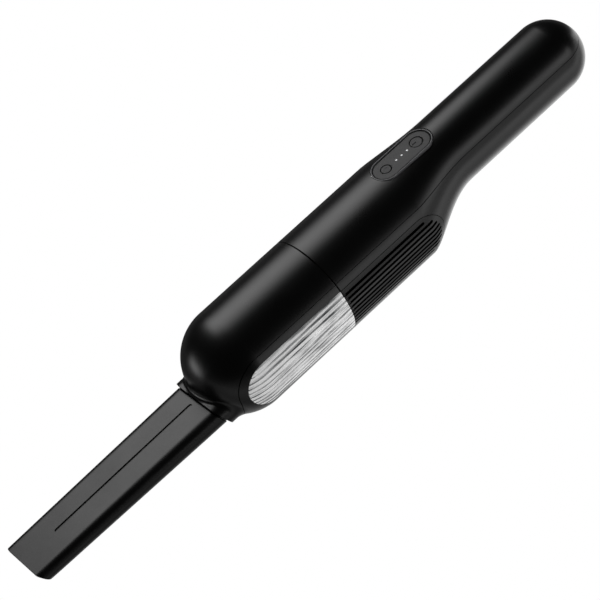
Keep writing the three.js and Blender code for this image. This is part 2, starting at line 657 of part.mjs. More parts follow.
// ---- the whole vacuum ----
const vacuum = group(
  -(TIP_X + TAIL_X) / 2, 0, -BELLY_Z,
  housing(), controls(), battery(), chargePort(), motor(), leads(), exhaustFoam(),
  bulkhead(), filter(), cup(), nozzle(),
);
const root = new THREE.Group();
root.add(vacuum);

export default root;
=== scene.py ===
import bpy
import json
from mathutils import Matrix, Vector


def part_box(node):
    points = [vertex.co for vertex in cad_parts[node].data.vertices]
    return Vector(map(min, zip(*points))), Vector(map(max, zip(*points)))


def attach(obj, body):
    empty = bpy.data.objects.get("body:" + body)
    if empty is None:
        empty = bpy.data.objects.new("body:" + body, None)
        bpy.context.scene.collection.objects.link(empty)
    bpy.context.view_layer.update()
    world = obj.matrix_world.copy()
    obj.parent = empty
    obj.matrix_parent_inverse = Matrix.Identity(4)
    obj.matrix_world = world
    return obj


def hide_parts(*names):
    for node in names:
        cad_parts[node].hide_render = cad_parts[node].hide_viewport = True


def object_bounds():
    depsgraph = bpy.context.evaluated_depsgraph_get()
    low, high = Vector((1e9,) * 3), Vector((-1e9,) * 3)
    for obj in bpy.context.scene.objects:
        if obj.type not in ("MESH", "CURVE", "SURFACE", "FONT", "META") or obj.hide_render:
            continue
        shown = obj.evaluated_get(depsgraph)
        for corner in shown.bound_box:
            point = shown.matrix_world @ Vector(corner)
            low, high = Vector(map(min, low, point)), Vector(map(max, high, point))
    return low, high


bl_info = {
    "name": "Stick hand vacuum",
    "version": (1, 0, 0),
    "blender": (4, 5, 0),
    "location": "View3D > Sidebar > Vacuum",
    "description": "Skins, finishes and studio of a cordless stick hand vacuum around its packed frame",
    "category": "Add Mesh",
}

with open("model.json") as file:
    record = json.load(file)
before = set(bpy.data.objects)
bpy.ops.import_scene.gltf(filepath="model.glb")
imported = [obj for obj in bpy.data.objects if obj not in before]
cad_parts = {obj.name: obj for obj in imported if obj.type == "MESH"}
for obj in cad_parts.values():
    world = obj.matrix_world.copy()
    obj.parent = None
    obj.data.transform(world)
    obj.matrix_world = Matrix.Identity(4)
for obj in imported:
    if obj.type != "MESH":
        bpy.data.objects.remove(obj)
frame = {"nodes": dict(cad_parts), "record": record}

import json
import math

import bmesh
import bpy
import numpy as np
from bpy.props import FloatProperty, FloatVectorProperty, PointerProperty
from mathutils import Matrix, Vector

CAD_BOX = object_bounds()
RECORD = frame["record"]
BODY_OF = {node: body for body, nodes in RECORD["behaviour"]["bodies"].items() for node in nodes}

# ---- sizes, in millimetres from the joint of cup and body, on the motor's axis ----
MM = 0.001
GAP = 0.3
WALL = 2.0
BODY_R = 31.2
GRIP_R = 21.5
TAIL_X = -210.2
FLARE_FRONT = -63.3
FLARE_REAR = -106.3
FLARE_SKEW = 0.765
SEAM_Z = 17.5
BELLY_Z = -30.4
DOME_X = 58.4
WINDOW_Z = -1.2
WINDOW_HALF = 14.7
WINDOW_REACH = 73.2
SLOTS = 9
SLOT_PITCH = 2.83
RIB_HALF = 0.3  # of the lines in the clear window that carry on the grille's slots
RIB_DEPTH = 0.5
SLOT_HALF = 0.78
SLOT_FLOOR_R = BODY_R - 1.9
SLOT_ENDS = (6, -47)  # where the slots begin ahead of the joint, and where they turn open
PORT_HALF = (4.9, 2.0)  # of the charging port in the tail, across and up
SCREW_BORE_R = 2.7
SCREWS = ((-112, 0, 1.3), (-67, 15, -0.7), (-67, -15, -0.7))  # x, y and the top of each bore
NOZZLE_Z = -9.1
NOZZLE_BACK = 72.4
NOZZLE_WALL = 1.6
NOZZLE_FLAT = (12.56, 12.2)  # half its straight width at the inner end and at the tip
NOZZLE_R = (6.4, 4.65)
TIP_X = 217.5
MOUTH_ANGLE = 33.0
NOZZLE_EDGE_R = 0.3
NOZZLE_STEP = 0.5  # of the shadow line beside the socket
SOCKET_X = 91.5
SOCKET_ANGLE = 22.8
SOCKET_FLAT = 12.56
SOCKET_R = 8.6
SOCKET_BORE_R = 7.0
COLLAR_BACK = 72.0
GROOVE = (94.6, 193.9)
GROOVE_HALF_WIDTH = 1.1
LOWER_SHELL_REACH = 78.0
LOWER_SHELL_CORNER = 19.0
PANEL_X = -79.9
PANEL_HALF = 20.95
PANEL_HALF_WIDTH = 9.0
PANEL_TOP = 30.9
PAD_TOP = PANEL_TOP - 0.45
RIM_WIDTH = 0.9
POWER_KEY = (PANEL_X - 11.3, 3.7)
MODE_KEY = (PANEL_X + 12.1, 3.0)
LIGHTS = [PANEL_X + x for x in (-4.15, 0.0, 4.15)]
LIGHT_HOLE_R = 0.6
COLLAR_R = BODY_R - WALL - GAP  # of the bulkhead's collar, which the cup slides over
PLEATS = 24
PLEAT_R = (14.0, 19.5)
CAGE_R = 21.15
WIRE = 0.42
CAGE_ENDS = (7.4, 29.6)
GRIP_Z = BODY_R - GRIP_R
AROUND = 256  # points of a full ring on the large skins
PAST = 60  # how far a cutting tool reaches, past the vacuum on every side
BEHIND = -300  # the same, past the tail
DEEP = 10  # where a slot's tool begins, well inside the wall

# ---- sizes of the studio, in metres ----
CAMERA_LENS = 134.19
CAMERA_TURNS = (158.257, 44.792, 26.788)  # swing round the vacuum, rise over it and roll, in degrees
CAMERA_AIM = (0.01166, 0, -0.00014)
CAMERA_DISTANCE = 1.21673
FLOOR_R = 3.0
FLOOR_HALF = 0.1  # the floor's glow changes within this distance to the left and right of the vacuum
# The floor's painted glow and painted shade, as reflections see them.
FLOOR_STOPS = ((-0.062, 0.02), (-0.04, 1.0), (0.012, 1.0), (0.035, 0.22), (0.1, 0.3))  # place, grey
FLOOR_AHEAD = 0.35  # share of the glow that is left ahead of the cup
# Place, width and height, and the margins along which each softbox fades.
KEY_BOX = ((-0.2, -0.66, 0.88), (0.92, 1.45), (0.16, 0.68))
SIDE_BOX = ((-0.6, 1.0, 0.24), (1.2, 0.5), (0.25, 0.15))
FRONT_BOX = ((0.8, -0.5, 0.05), (0.75, 0.5), (0.3, 0.2))

joint_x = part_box("cup_shell")[0][0] - GAP / 2 * MM
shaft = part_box("motor_shaft")
PLACE = Vector((joint_x, 0, (shaft[0][2] + shaft[1][2]) / 2))


# ---- modelling ----
def select_only(piece):
    """Makes one object the only selected one and the active one."""
    bpy.ops.object.select_all(action="DESELECT")
    piece.select_set(True)
    bpy.context.view_layer.objects.active = piece


def loft(name, rings, shut="ends"):
    """A skin through rings of points in millimetres, extruded ring by ring.

    shut: "ends" fills both end rings, "loop" joins the last ring to the first, "none" leaves them open,
    "start" fills only the first.
    """
    bpy.ops.object.select_all(action="DESELECT")
    bpy.ops.mesh.primitive_circle_add(vertices=len(rings[0]), radius=MM)
    skin = bpy.context.object
    skin.name = skin.data.name = name
    bpy.ops.object.mode_set(mode="EDIT")
    bpy.ops.mesh.select_all(action="SELECT")
    if shut in ("ends", "start"):
        bpy.ops.mesh.edge_face_add()
        bpy.ops.mesh.select_mode(type="EDGE")
        bpy.ops.mesh.select_all(action="SELECT")
    mesh = bmesh.from_edit_mesh(skin.data)
    mesh.verts.ensure_lookup_table()
    order = list(range(len(rings[0])))
    for index, point in zip(order, rings[0]):
        mesh.verts[index].co = Vector(point) * MM
    for face in mesh.faces:
        face.select_set(False)
    for edge in mesh.edges:
        edge.select_set(True)
    for ring in rings[1:]:
        bpy.ops.mesh.extrude_edges_move()
        mesh = bmesh.from_edit_mesh(skin.data)
        mesh.verts.ensure_lookup_table()
        order = [
            next(edge.other_vert(mesh.verts[i]).index for edge in mesh.verts[i].link_edges
                 if edge.other_vert(mesh.verts[i]).select)
            for i in order
        ]
        for index, point in zip(order, ring):
            mesh.verts[index].co = Vector(point) * MM
    if shut == "ends":
        bpy.ops.mesh.edge_face_add()
    if shut == "loop":
        bpy.ops.mesh.select_all(action="DESELECT")
        bpy.ops.mesh.select_non_manifold()
        bpy.ops.mesh.bridge_edge_loops()
    bpy.ops.mesh.select_all(action="SELECT")
    bpy.ops.mesh.remove_doubles(threshold=0.002 * MM)
    bpy.ops.mesh.normals_make_consistent(inside=False)
    if shut == "none":
        # An open tube has no inside of its own: its faces must look away from its middle.
        mesh = bmesh.from_edit_mesh(skin.data)
        middle = sum((face.calc_center_median() for face in mesh.faces), Vector()) / len(mesh.faces)
        outward = 0.0
        for face in mesh.faces:
            outward += (face.calc_center_median() - middle).dot(face.normal) * face.calc_area()
        if outward < 0:
            bpy.ops.mesh.flip_normals()
    bpy.ops.object.mode_set(mode="OBJECT")
    return skin


def apply(piece, kind, **settings):
    """Adds a modifier with its settings and applies it."""
    select_only(piece)
    bpy.ops.object.modifier_add(type=kind)
    modifier = piece.modifiers[-1]
    for key, value in settings.items():
        setattr(modifier, key, value)
    bpy.ops.object.modifier_apply(modifier=modifier.name)
    return piece


def combine(piece, tools, operation="DIFFERENCE"):
    """Cuts, joins or crosses a closed solid with others, which are used up."""
    for tool in tools:
        apply(piece, "BOOLEAN", object=tool, operation=operation, solver="MANIFOLD")
        bpy.data.objects.remove(tool)
    return piece


def copy_of(piece, name):
    """A copy with its own mesh."""
    select_only(piece)
    bpy.ops.object.duplicate()
    made = bpy.context.object
    made.name = made.data.name = name
    return made


def block(low, high):
    """A box between two corners, as a cutting tool."""
    bpy.ops.object.select_all(action="DESELECT")
    middle = [(a + b) / 2 * MM for a, b in zip(low, high)]
    size = [(b - a) * MM for a, b in zip(low, high)]
    bpy.ops.mesh.primitive_cube_add(size=1, location=middle, scale=size)
    bpy.ops.object.transform_apply(location=True, rotation=False, scale=True)
    return bpy.context.object


def pill(half, half_height, arc=16, middle=(0, 0)):
    """Points of a stadium outline, with a support point beside each end of its straight lines."""
    flat = half - half_height
    points = []
    for side, turn in ((1, -90), (-1, 90)):
        for step in range(arc + 1):
            angle = math.radians(turn + 180 * step / arc)
            points.append((middle[0] + side * flat + half_height * math.cos(angle),
                           middle[1] + half_height * math.sin(angle)))
        beside = min(0.6, flat * 0.5)
        level = middle[1] + side * half_height
        points.append((middle[0] + side * (flat - beside), level))
        points.append((middle[0] - side * (flat - beside), level))
    return points


def disc(radius, count=32, middle=(0, 0)):
    """Points of a circle."""
    turns = [2 * math.pi * i / count for i in range(count)]
    return [(middle[0] + radius * math.cos(t), middle[1] + radius * math.sin(t)) for t in turns]


def prism(name, outline, axis, low, high):
    """A closed prism of an outline: across x (outline is y, z), y (x, z) or z (x, y)."""
    lift = {
        "x": lambda p, h: (h, p[0], p[1]),
        "y": lambda p, h: (p[0], h, p[1]),
        "z": lambda p, h: (p[0], p[1], h),
    }
    return loft(name, [[lift[axis](p, h) for p in outline] for h in (low, high)])


def turned(name, profile, count=128, shut="loop"):
    """A profile of (x, radius) points turned about the motor's axis."""
    return loft(name, [[(x, a, b) for a, b in disc(max(r, 0.0), count)] for x, r in profile], shut)


def done(piece, node, material, angle=32):
    """Shades a finished skin, puts it where its CAD node is, and lets it stand for that node."""
    if not piece.data.polygons:
        raise RuntimeError("Nothing is left of the skin of " + node)
    select_only(piece)
    bpy.ops.object.shade_smooth_by_angle(angle=math.radians(angle))
    piece.location = PLACE
    bpy.ops.object.transform_apply(location=True, rotation=True, scale=True)
    apply(piece, "WEIGHTED_NORMAL", keep_sharp=True, weight=60)
    piece.name = piece.data.name = "skin_" + node
    piece.data.materials.clear()
    piece.data.materials.append(material)
    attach(piece, BODY_OF[node])
    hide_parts(node)
    return piece


# ---- the round outline of body and grip ----
def swell(x):
    """Radius of body and grip at a place along them."""
    run = min(max((FLARE_FRONT - x) / (FLARE_FRONT - FLARE_REAR), 0), 1) ** FLARE_SKEW
    return BODY_R - (BODY_R - GRIP_R) * run * run * (3 - 2 * run)


def ring_at(x, radius, height):
    """A ring of points across the axis."""
    return [(x, a, height + b) for a, b in disc(max(radius, 0.0005), AROUND)]


def housing_solid():
    """The whole housing with its wall, from the tail to the joint with the cup."""
    rings = []
    for step in range(29):
        turn = math.pi / 2 * step / 28
        rings.append(ring_at(TAIL_X + GRIP_R * (1 - math.cos(turn)), GRIP_R * math.sin(turn), GRIP_Z))
    stations = list(np.linspace(TAIL_X + GRIP_R + 9, FLARE_REAR - 2, 8))
    stations += list(np.linspace(FLARE_REAR, FLARE_FRONT, 56))
    stations += list(np.linspace(FLARE_FRONT + 6, -6, 8)) + [-0.6]
    rings += [ring_at(x, swell(x), BODY_R - swell(x)) for x in stations]
    rings += [ring_at(-x, BODY_R - drop, 0) for x, drop in ((0.32, 0.05), (0.2, 0.14), (0.15, 0.26))]
    skin = loft("housing", rings, shut="none")
    return apply(skin, "SOLIDIFY", thickness=WALL * MM, offset=-1, use_even_offset=True)


def window_tool(inset):
    """The long round-ended outline that grille and window fill together, drawn in by an inset."""
    outline = pill(WINDOW_REACH - inset, WINDOW_HALF - inset, 32, (0, WINDOW_Z))
    return prism("window", outline, "y", -PAST, PAST)


def half_space(side):
    """How far a tool reaches from the middle to the left (side 1) or to the right (side -1)."""
    return (GAP, PAST) if side > 0 else (-PAST, -GAP)


def slot_reach(side):
    """From where to where a slot's tool goes through one side's wall."""
    return (DEEP, 50) if side > 0 else (-50, -DEEP)


def slot_tools(start, low, high):
    """Long slots with round ends that follow the window's rear end."""
    tools = []
    for i in range(SLOTS):
        up = (i - (SLOTS - 1) / 2) * SLOT_PITCH
        reach = WINDOW_REACH - WINDOW_HALF + math.sqrt((WINDOW_HALF - 3) ** 2 - up**2)
        middle = ((start - reach) / 2, WINDOW_Z + up)
        tools.append(prism("slot", pill((start + reach) / 2, SLOT_HALF, 6, middle), "y", low, high))
    return tools


# ---- cup ----
def socket_outline(grow=0.0, arc=24):
    """Points of the socket's outline, grown by a distance."""
    return [(y, NOZZLE_Z + z) for y, z in pill(SOCKET_FLAT + SOCKET_R + grow, SOCKET_R + grow, arc)]


def blended_distance(p, fillet):
    """Distance to the half sphere and the socket's collar together, with a round fillet in the corner."""
    sphere = np.linalg.norm(p - np.array([DOME_X, 0, 0]), axis=1) - BODY_R
    across = np.maximum(np.abs(p[:, 1]) - SOCKET_FLAT, 0)
    collar = np.hypot(across, p[:, 2] - NOZZLE_Z) - SOCKET_R
    near = np.hypot(np.maximum(fillet - sphere, 0), np.maximum(fillet - collar, 0))
    return np.maximum(fillet, np.minimum(sphere, collar)) - near


def cup_solid(fillet):
    """The whole cup with its wall: a tube, a half sphere, and the flat socket that grows out of it."""
    lean = math.tan(math.radians(SOCKET_ANGLE))
    rings = [ring_at(x, BODY_R - drop, 0) for x, drop in ((0.15, 0.26), (0.2, 0.14), (0.32, 0.05), (0.6, 0))]
    rings += [ring_at(x, BODY_R, 0) for x in np.linspace(7, DOME_X, 8)]
    start = np.array(rings[-1])
    middle = np.array([DOME_X, 0, NOZZLE_Z])
    away = start - middle
    # Where each line out of the middle meets the socket's outline.
    angle = np.arctan2(away[:, 2], away[:, 1])
    reach = np.full(len(angle), SOCKET_R)
    for _ in range(60):
        y = reach * np.cos(angle)
        z = reach * np.sin(angle)
        off = np.hypot(np.maximum(np.abs(y) - SOCKET_FLAT, 0), z) - SOCKET_R
        reach = reach - off * 0.7
    rim = np.stack([np.zeros_like(angle), reach * np.cos(angle), NOZZLE_Z + reach * np.sin(angle)], 1)
    rim[:, 0] = SOCKET_X - lean * (NOZZLE_Z + SOCKET_R - rim[:, 2])
    to_start = away / np.linalg.norm(away, axis=1)[:, None]
    to_rim = rim - middle
    to_rim /= np.linalg.norm(to_rim, axis=1)[:, None]
    between = np.arccos(np.clip((to_start * to_rim).sum(1), -1, 1))[:, None]
    for t in np.linspace(0, 1, 90)[1:]:
        ray = (np.sin((1 - t) * between) * to_start + np.sin(t * between) * to_rim) / np.sin(between)
        low, high = np.zeros(len(ray)), np.full(len(ray), 60.0)
        for _ in range(40):
            half = (low + high) / 2
            inside = blended_distance(middle + ray * half[:, None], fillet) < 0
            low, high = np.where(inside, half, low), np.where(inside, high, half)
        rings.append([tuple(p) for p in middle + ray * low[:, None]])
    skin = loft("cup", rings, shut="none")
    apply(skin, "SOLIDIFY", thickness=WALL * MM, offset=-1, use_even_offset=True)
    bore = prism("bore", socket_outline(SOCKET_BORE_R - SOCKET_R), "x", DOME_X + 12, SOCKET_X + 8)
    return combine(skin, [bore])


def cup_floor(depth):
    """The cup's round outline, drawn in by a depth: grooves in its skin stop on this."""
    radius = BODY_R - depth
    turns = np.linspace(0, math.pi / 2, 25)
    profile = [(-10, radius)] + [(DOME_X + radius * math.sin(t), radius * math.cos(t)) for t in turns]
    return turned("floor", profile, AROUND, "ends")


def lower_shell_tool(inset):
    """Side view of the cup's lower shell: it ends in a rounded corner ahead of the window."""
    front, top = LOWER_SHELL_REACH - inset, SEAM_Z - inset
    corner = LOWER_SHELL_CORNER
    outline = [(-10, -PAST), (front, -PAST), (front, top - corner)]
    for step in range(1, 33):
        turn = math.pi / 2 * step / 32
        outline.append((front - corner + corner * math.cos(turn), top - corner + corner * math.sin(turn)))
    outline.append((-10, top))
    return prism("lower_shell", outline, "y", -PAST, PAST)


# ---- finishes ----
def linear(code):
    """sRGB hex, or a linear colour, to linear red, green, blue, alpha."""
    if not isinstance(code, str):
        return [*code, 1.0]
    parts = [int(code[i:i + 2], 16) / 255 for i in (1, 3, 5)]
    return [c / 12.92 if c <= 0.04045 else ((c + 0.055) / 1.055) ** 2.4 for c in parts] + [1.0]


def put(tree, kind, values=None, **settings):
    """Adds a node. values go to its input sockets: an output socket is linked, anything else is set."""
    node = tree.nodes.new(kind)
    for key, value in settings.items():
        setattr(node, key, value)
    for key, value in (values or {}).items():
        if isinstance(value, bpy.types.NodeSocket):
            tree.links.new(value, node.inputs[key])
        else:
            node.inputs[key].default_value = value
    return node


def blank(name):
    """A material with an empty node tree."""
    material = bpy.data.materials.new(name)
    material.use_nodes = True
    material.node_tree.nodes.clear()
    return material, material.node_tree


def shade_between(ramp, low, dark, high, light):
    """Sets a ramp to go from a dark colour at one value to a light one at another."""
    for end, place, colour in ((0, low, dark), (1, high, light)):
        ramp.color_ramp.elements[end].position = place
        ramp.color_ramp.elements[end].color = linear(colour)


def finish(name, light, dark, rough, grain, depth, stretch=(1, 1, 1), cloud=18.0, metal=0.0, direct=None):
    """A finish whose colour, roughness and relief come from two noises.

    light and dark are the ends of its colour, rough the two ends of its roughness, grain the size in
    millimetres of its fine texture and depth that texture's relief, stretch its scale along each axis, cloud
    the size of its slow variation, and direct holds plain values for the shader.
    """
    material, tree = blank(name)
    place = put(tree, "ShaderNodeTexCoord")
    turned_place = put(tree, "ShaderNodeMapping", {"Vector": place.outputs["Object"], "Scale": stretch})
    fine = put(tree, "ShaderNodeTexNoise", {"Vector": turned_place.outputs[0], "Scale": 1 / (grain * MM),
                                            "Detail": 3.0, "Roughness": 0.6})
    slow = put(tree, "ShaderNodeTexNoise", {"Vector": place.outputs["Object"], "Scale": 1 / (cloud * MM),
                                            "Detail": 4.0, "Roughness": 0.55})
    both = put(tree, "ShaderNodeMix", {"Factor": 0.5, "A": slow.outputs[0], "B": fine.outputs[0]})
    ramp = put(tree, "ShaderNodeValToRGB", {"Fac": both.outputs[0]})
    shade_between(ramp, 0.35, dark, 0.65, light)
    roughness = put(tree, "ShaderNodeMapRange", {
        "Value": both.outputs[0], "From Min": 0.35, "From Max": 0.65, "To Min": rough[0], "To Max": rough[1]})
    relief = put(tree, "ShaderNodeBump", {"Strength": 0.6, "Distance": depth * MM, "Height": fine.outputs[0]})
    shader = put(tree, "ShaderNodeBsdfPrincipled", {
        "Base Color": ramp.outputs["Color"], "Roughness": roughness.outputs["Result"],
        "Normal": relief.outputs["Normal"], "Metallic": metal, **(direct or {})})
    put(tree, "ShaderNodeOutputMaterial", {"Surface": shader.outputs["BSDF"]})
    material.diffuse_color = linear(light)
    return material


def ribbed_clear():
    """Clear polycarbonate with fine lengthwise ribs. The bright and dark streaks into which they scatter the
    light are painted into its colour, and it glows faintly with that painted colour.
    """
    material, tree = blank("clear_ribbed_polycarbonate")
    place = put(tree, "ShaderNodeTexCoord")
    # Ribs 1.1 mm apart and about 80 mm long, with a finer set between them.
    lengthwise = put(tree, "ShaderNodeMapping", {"Vector": place.outputs["Object"],
                                                 "Scale": (1 / (80 * MM), 0.0, 1 / (1.1 * MM))})
    ribs = put(tree, "ShaderNodeTexNoise", {"Vector": lengthwise.outputs[0], "Scale": 1.0, "Detail": 2.0,
                                            "Roughness": 0.7})
    along = put(tree, "ShaderNodeMapping", {"Vector": place.outputs["Object"],
                                            "Scale": (1 / (14 * MM), 0.0, 1 / (2.8 * MM))})
    patches = put(tree, "ShaderNodeTexNoise", {"Vector": along.outputs[0], "Scale": 1.0, "Detail": 3.0})
    both = put(tree, "ShaderNodeMix", {"Factor": 0.3, "A": ribs.outputs[0], "B": patches.outputs[0]})
    # Painted shade: dark lines along the grooves cut in the window carry on the slots of the grille behind
    # the window.
    height = put(tree, "ShaderNodeSeparateXYZ", {"Vector": place.outputs["Object"]})
    from_line = put(tree, "ShaderNodeMath", {0: height.outputs["Z"], 1: -(PLACE.z + WINDOW_Z * MM)})
    fold = put(tree, "ShaderNodeMath", {0: from_line.outputs[0], 1: SLOT_PITCH / 2 * MM},
               operation="PINGPONG")
    line = put(tree, "ShaderNodeMapRange", {
        "Value": fold.outputs[0], "From Min": 0.15 * MM, "From Max": 0.6 * MM,
        "To Min": -0.1, "To Max": 0.05})
    painted_streaks = put(tree, "ShaderNodeMath", {0: both.outputs[0], 1: line.outputs[0]})
    # Painted light and shade: the streaks run from a dark grey to a near white that stands for light seen
    # through the window.
    ramp = put(tree, "ShaderNodeValToRGB", {"Fac": painted_streaks.outputs[0]})
    shade_between(ramp, 0.40, "#4a4c4e", 0.56, "#fbfbfb")
    roughness = put(tree, "ShaderNodeMapRange", {
        "Value": both.outputs[0], "From Min": 0.35, "From Max": 0.6, "To Min": 0.08, "To Max": 0.3})
    relief = put(tree, "ShaderNodeBump", {"Strength": 0.8, "Distance": 0.25 * MM, "Height": ribs.outputs[0]})
    # The window glows with its painted colour as painted light, though it is no lamp.
    shader = put(tree, "ShaderNodeBsdfPrincipled", {
        "Base Color": ramp.outputs["Color"], "Roughness": roughness.outputs["Result"],
        "Normal": relief.outputs["Normal"], "IOR": 1.58, "Transmission Weight": 0.12,
        "Emission Color": ramp.outputs["Color"], "Emission Strength": 0.3})
    put(tree, "ShaderNodeOutputMaterial", {"Surface": shader.outputs["BSDF"]})
    return material


FINISHES = {}


def finishes():
    """Every finish, made once."""
    if FINISHES:
        return FINISHES
    vacuum = bpy.context.scene.vacuum
    abs_ior, black = {"IOR": 1.5}, "#040404"
    soft = {"IOR": 1.43, "Subsurface Weight": 0.1, "Subsurface Radius": (0.001,) * 3}
    glow = {"IOR": 1.49, "Emission Color": linear("#ffffff"), "Emission Strength": 0.55}
    FINISHES.update({
        # Moulded ABS with a fine spark-eroded texture: a soft broad highlight on a nearly black ground.
        "satin_abs": finish("satin_black_abs", vacuum.body_colour, black, (0.27, 0.32), 0.5, 0.003,
                            direct=abs_ior),
        # Moulded polypropylene, a little waxier than the body: its highlight is wider and weaker.
        "nozzle_pp": finish("nozzle_polypropylene", vacuum.nozzle_colour, black, (0.30, 0.36), 0.6, 0.005,
                            direct={"IOR": 1.49}),
        # The same ABS as the body, unpolished between the slots.
        "grille_abs": finish("grille_abs", "#060607", "#030303", (0.28, 0.34), 0.5, 0.004, direct=abs_ior),
        # Silicone keypad with a soft-touch lacquer: no sharp reflections.
        "pad": finish("key_pad_silicone", "#3b3b3c", "#303031", (0.42, 0.50), 0.35, 0.006,
                      direct={"IOR": 1.43}),
        # Grey ABS with a smooth mould finish: a fine bright edge round the keys.
        "rim": finish("panel_rim_abs", "#747476", "#5c5c5e", (0.26, 0.34), 0.5, 0.003, direct=abs_ior),
        # Unseen mouldings keep the tool's dull finish.
        "inner": finish("inner_moulding_abs", "#18191a", "#101011", (0.45, 0.58), 0.8, 0.01, direct=abs_ior),
        # Compression-moulded rubber: matt, with a powdery grain.
        "rubber": finish("moulded_rubber", "#161617", "#0d0d0d", (0.7, 0.85), 0.6, 0.02,
                         direct={"IOR": 1.52}),
        # Unpainted silicone lets a little light in under its surface.
        "silicone": finish("grey_silicone", "#8b8e91", "#75787b", (0.48, 0.62), 0.7, 0.01, direct=soft),
        # Deep-drawn steel: faint drawing lines along the motor's axis.
        "steel": finish("drawn_steel", "#b9bcc0", "#8e9195", (0.22, 0.36), 0.5, 0.006, (0.05, 1, 1),
                        metal=1.0),
        # Zinc plating on rolled steel: a little duller than the drawn steel, with a fine frosted grain.
        "zinc": finish("zinc_plated_steel", "#a9adb3", "#858a8f", (0.28, 0.42), 0.4, 0.004, metal=1.0),
        # Wound enamelled wire: strands 0.7 mm apart, drawn coarse enough to show.
        "copper": finish("enamelled_copper_windings", "#b96a3a", "#7c3b1d", (0.25, 0.4), 0.7, 0.12,
                         (1, 0.15, 0.15), metal=1.0),
        # Screen-printed solder mask over copper and glass fibre: glossy green, slightly uneven.
        "board": finish("solder_mask", "#1c6a43", "#124a2e", (0.25, 0.4), 0.9, 0.02, direct=abs_ior),
        # Heat-shrunk sleeve: glossy film with slight waves.
        "cell": finish("cell_sleeve_pvc", "#2f6bb0", "#24558d", (0.25, 0.36), 1.2, 0.01,
                       direct={"IOR": 1.53}),
        # Pleated spun fleece: white, with matt fibres that catch light at a flat angle.
        "fleece": finish("filter_fleece", "#f0f1ec", "#d5d7d0", (0.85, 0.95), 0.45, 0.08,
                         direct={"IOR": 1.45, "Sheen Weight": 0.3}),
        # Open-cell foam: dark pores about 1 mm wide.
        "foam": finish("open_foam", "#55585b", "#2b2d2f", (0.9, 1.0), 1.1, 0.5, direct={"IOR": 1.4}),
        # Extruded PVC insulation: smooth, with faint streaks.
        "wire_red": finish("red_wire_insulation", "#b5281f", "#8c1d16", (0.35, 0.45), 0.8, 0.006,
                           direct=abs_ior),
        # Moulded acrylic, lit from within.
        "light": finish("light_guide_acrylic", "#ffffff", "#e8ecf0", (0.25, 0.35), 0.5, 0.002, direct=glow),
        "clear": ribbed_clear(),
    })
    return FINISHES


CARRIED = {
    "zinc": ["housing_screw_1", "housing_screw_2", "housing_screw_3", "cell_link_front", "cell_link_rear"],
    "inner": ["power_switch", "mode_switch", "battery_bracket_front", "battery_bracket_rear", "fan_shroud",
              "diffuser", "motor_front_cap", "motor_bracket", "impeller", "inlet_duct"],
    "board": ["control_board", "charge_board"],
    "cell": ["battery_cell_left", "battery_cell_right"],
    "steel": ["charge_socket", "motor_can", "front_bearing", "rear_bearing", "motor_shaft", "flap_pin"],
    "foam": ["stator_magnets", "exhaust_foam_left", "exhaust_foam_right"],
    "rubber": ["motor_front_mount", "motor_rear_mount", "motor_lead_black", "battery_lead_black"],
    "wire_red": ["motor_lead_red", "battery_lead_red"],
    "copper": ["rotor_core"],
    "silicone": ["inlet_flap"],
}


# ---- settings that a user would change ----
class VacuumSettings(bpy.types.PropertyGroup):
    """Sizes and colours of the vacuum's skins"""

    socket_fillet: FloatProperty(
        name="Socket fillet", description="Radius of the corner between dome and socket",
        default=2.5 * MM, min=MM, max=8 * MM, precision=4, unit="LENGTH")
    groove_depth: FloatProperty(
        name="Groove depth", description="Depth of the nozzle's long groove",
        default=0.7 * MM, min=0.1 * MM, max=MM, precision=4, unit="LENGTH")
    body_colour: FloatVectorProperty(
        name="Body colour", description="Colour of the housing's and the cup's ABS",
        default=linear("#060606")[:3], min=0.0, max=1.0, subtype="COLOR")
    nozzle_colour: FloatVectorProperty(
        name="Nozzle colour", description="Colour of the nozzle's polypropylene",
        default=linear("#070707")[:3], min=0.0, max=1.0, subtype="COLOR")


class StudioSettings(bpy.types.PropertyGroup):
    """Light and floor of the studio"""

    key_glow: FloatProperty(
        name="Key light", description="Brightness of the large softbox overhead, white being 1",
        default=3.2, min=0.0)
    side_glow: FloatProperty(
        name="Side light", description="Brightness of the low softbox on the left", default=1.6, min=0.0)
    front_glow: FloatProperty(
        name="Front light", description="Brightness of the small softbox ahead", default=3.0, min=0.0)
    # Strength of the floor's painted glow, seen only in reflections.
    floor_glow: FloatProperty(
        name="Floor glow", description="How much the paper floor is lit from below", default=1.5, min=0.0,
        max=3.0)


# ---- operators ----
class VACUUM_OT_housing(bpy.types.Operator):
    """Upper and lower housing, with the seam between them"""

    bl_idname = "vacuum.housing"
    bl_label = "Housing"

    def execute(self, context):
        whole = housing_solid()
        below_seam = block((BEHIND, -PAST, -PAST), (PAST, PAST, SEAM_Z + GAP / 2))
        upper = combine(copy_of(whole, "upper"), [below_seam])
        hole = pill(PANEL_HALF + GAP, PANEL_HALF_WIDTH + GAP, 32, (PANEL_X, 0))
        combine(upper, [prism("panel_hole", hole, "z", SEAM_Z + 6.5, PAST)])
        done(upper, "upper_housing", finishes()["satin_abs"])
        above_seam = block((BEHIND, -PAST, SEAM_Z - GAP / 2), (PAST, PAST, PAST))
        lower = combine(whole, [above_seam, window_tool(0),
                                block((BEHIND, -PAST, -PAST), (PAST, PAST, BELLY_Z))])
        port_outline = [(y, GRIP_Z + z) for y, z in pill(*PORT_HALF)]
        port = prism("port", port_outline, "x", TAIL_X - 5, TAIL_X + 12)
        bores = [prism("bore", disc(SCREW_BORE_R, 32, (x, y)), "z", -PAST, top) for x, y, top in SCREWS]
        combine(lower, [port, *bores])
        done(lower, "lower_housing", finishes()["satin_abs"])
        return {"FINISHED"}


